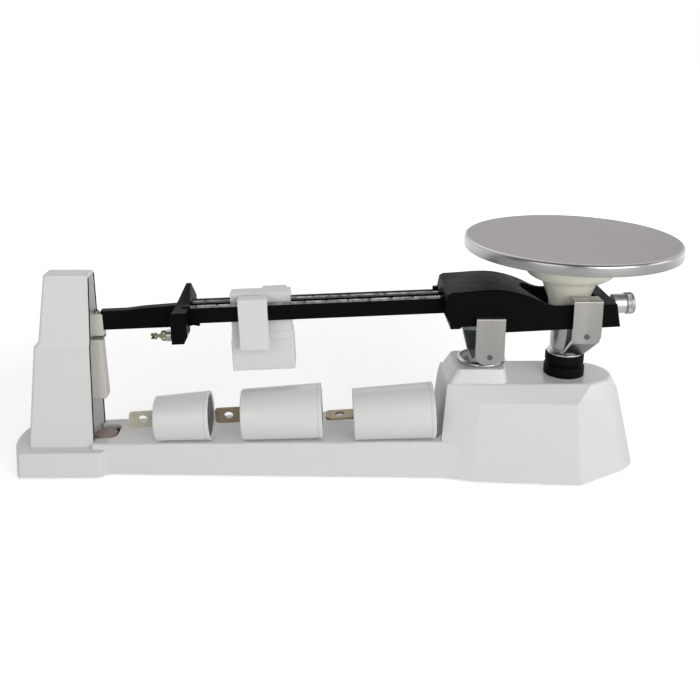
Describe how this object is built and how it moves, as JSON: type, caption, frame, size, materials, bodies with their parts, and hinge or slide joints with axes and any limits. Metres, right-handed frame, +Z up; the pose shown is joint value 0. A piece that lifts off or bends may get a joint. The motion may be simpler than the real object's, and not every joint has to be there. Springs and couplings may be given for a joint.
{
  "type": "triple beam balance",
  "caption": "White mechanical triple beam balance with a round steel pan, black beam with poises, and loose attachment weights.",
  "frame": {"origin": "on the table, under the middle of the overall length and width", "axes": "+X along the beam towards the pan, +Y towards the reader of the scales, +Z up"},
  "size_m": [0.476, 0.152, 0.1714],
  "materials": {
    "white_paint": "semi_gloss",
    "black_paint": "satin",
    "cover_steel": "satin",
    "nickel": "satin",
    "bright_screws": "satin",
    "pan_steel": "satin",
    "turned_steel": "satin",
    "hardened_steel": "satin",
    "agate": "gloss",
    "cream_plastic": "matte",
    "ivory_plastic": "semi_gloss",
    "black_rubber": "matte",
    "aluminium_sheet": "satin",
    "magnet": "matte",
    "strip_metal": "satin"
  },
  "bodies": {
    "base": {"base_casting": "white_paint", "bottom_cover": "cover_steel", "bottom_screws": "bright_screws", "rubber_feet": "black_rubber", "tower_cover": "white_paint", "tower_screws": "bright_screws", "damper_housing": "cream_plastic", "damper_magnets": "magnet", "damper_bracket": "cover_steel", "damper_screws": "bright_screws", "stop_pad": "black_rubber", "zero_scale_plate": "aluminium_sheet", "fulcrum_dish": "nickel", "fulcrum_yoke": "nickel", "fulcrum_bearings": "agate", "fulcrum_cover_near": "nickel", "fulcrum_cover_far": "nickel", "fulcrum_cover_screws": "bright_screws", "fulcrum_bolt": "bright_screws", "fulcrum_nut": "bright_screws", "boot": "black_rubber", "link_post": "aluminium_sheet", "link_pin": "bright_screws"},
    "beam": {"beam_casting": "black_paint", "fulcrum_knife": "hardened_steel", "load_knives": "hardened_steel", "pointer_block": "cream_plastic", "pointer_loop": "black_paint", "damper_vane": "aluminium_sheet", "weight_stud": "bright_screws", "stud_washer": "bright_screws", "star_nut": "bright_screws", "zero_stud": "bright_screws"},
    "hanger": {"hanger_yoke": "nickel", "hanger_post": "turned_steel", "hanger_bearings": "agate", "hanger_cover_near": "nickel", "hanger_cover_far": "nickel", "hanger_cover_screws": "bright_screws", "boot_washer": "turned_steel", "hanger_stem": "turned_steel", "stem_pin": "bright_screws", "pan_support": "ivory_plastic"},
    "pan": {"weighing_pan": "pan_steel", "pan_ring": "pan_steel"},
    "check_link": {"check_link": "aluminium_sheet"},
    "near_poise": {"near_poise": "white_paint"},
    "middle_poise": {"middle_poise": "white_paint"},
    "far_poise": {"far_poise": "white_paint"},
    "zero_weight": {"zero_weight": "turned_steel"},
    "zero_knob": {"zero_knob": "turned_steel"},
    "small_weight": {"small_weight": "white_paint", "small_weight_strip": "strip_metal"},
    "large_weight_left": {"large_weight_left": "white_paint", "large_weight_left_strip": "strip_metal"},
    "large_weight_right": {"large_weight_right": "white_paint", "large_weight_right_strip": "strip_metal"}
  },
  "joints": [
    {"name": "beam_tilt", "type": "hinge", "parent": "base", "child": "beam", "pos_m": [0.1008, 0, 0.112], "axis": [0, 1, 0], "range_deg": [0, 4.4], "deforming": ["boot"]},
    {"name": "hanger_swing", "type": "hinge", "parent": "beam", "child": "hanger", "pos_m": [0.16764, 0, 0.1148], "axis": [0, 1, 0], "range_deg": [-4.4, 0]},
    {"name": "link_swing", "type": "hinge", "parent": "base", "child": "check_link", "pos_m": [0.09516, 0, 0.024], "axis": [0, 1, 0], "range_deg": [0, 4.4]},
    {"name": "near_poise_slide", "type": "slide", "parent": "beam", "child": "near_poise", "axis": [0.9991, 0, 0.0419], "range_m": [-0.03066, 0.12264]},
    {"name": "middle_poise_slide", "type": "slide", "parent": "beam", "child": "middle_poise", "axis": [0.9991, 0, 0.0419], "range_m": [-0.0258, 0.1032]},
    {"name": "far_poise_slide", "type": "slide", "parent": "beam", "child": "far_poise", "axis": [0.9991, 0, 0.0419], "range_m": [-0.049, 0.1]},
    {"name": "zero_travel", "type": "slide", "parent": "beam", "child": "zero_weight", "axis": [0.9991, 0, 0.0419], "range_m": [-0.0015, 0.0015]},
    {"name": "zero_spin", "type": "hinge", "parent": "zero_weight", "child": "zero_knob", "pos_m": [0.19108, 0, 0.12149], "axis": [0.9991, 0, 0.0419], "range_deg": [-830, 830]},
    {"name": "pan_lift", "type": "slide", "parent": "hanger", "child": "pan", "axis": [0, 0, 1], "range_m": [0, 0.04]},
    {"name": "small_weight_lift", "type": "slide", "parent": "base", "child": "small_weight", "axis": [0, -0.8, 0.6], "range_m": [0, 0.06]},
    {"name": "large_weight_left_lift", "type": "slide", "parent": "base", "child": "large_weight_left", "axis": [0, -0.8, 0.6], "range_m": [0, 0.06]},
    {"name": "large_weight_right_lift", "type": "slide", "parent": "base", "child": "large_weight_right", "axis": [0, -0.8, 0.6], "range_m": [0, 0.06]}
  ],
  "couplings": [
    {"joint": "hanger_swing", "follows": "beam_tilt", "ratio": -1},
    {"joint": "link_swing", "follows": "beam_tilt", "ratio": 1},
    {"joint": "zero_spin", "follows": "zero_travel", "rad_per_m": 8976}
  ]
}
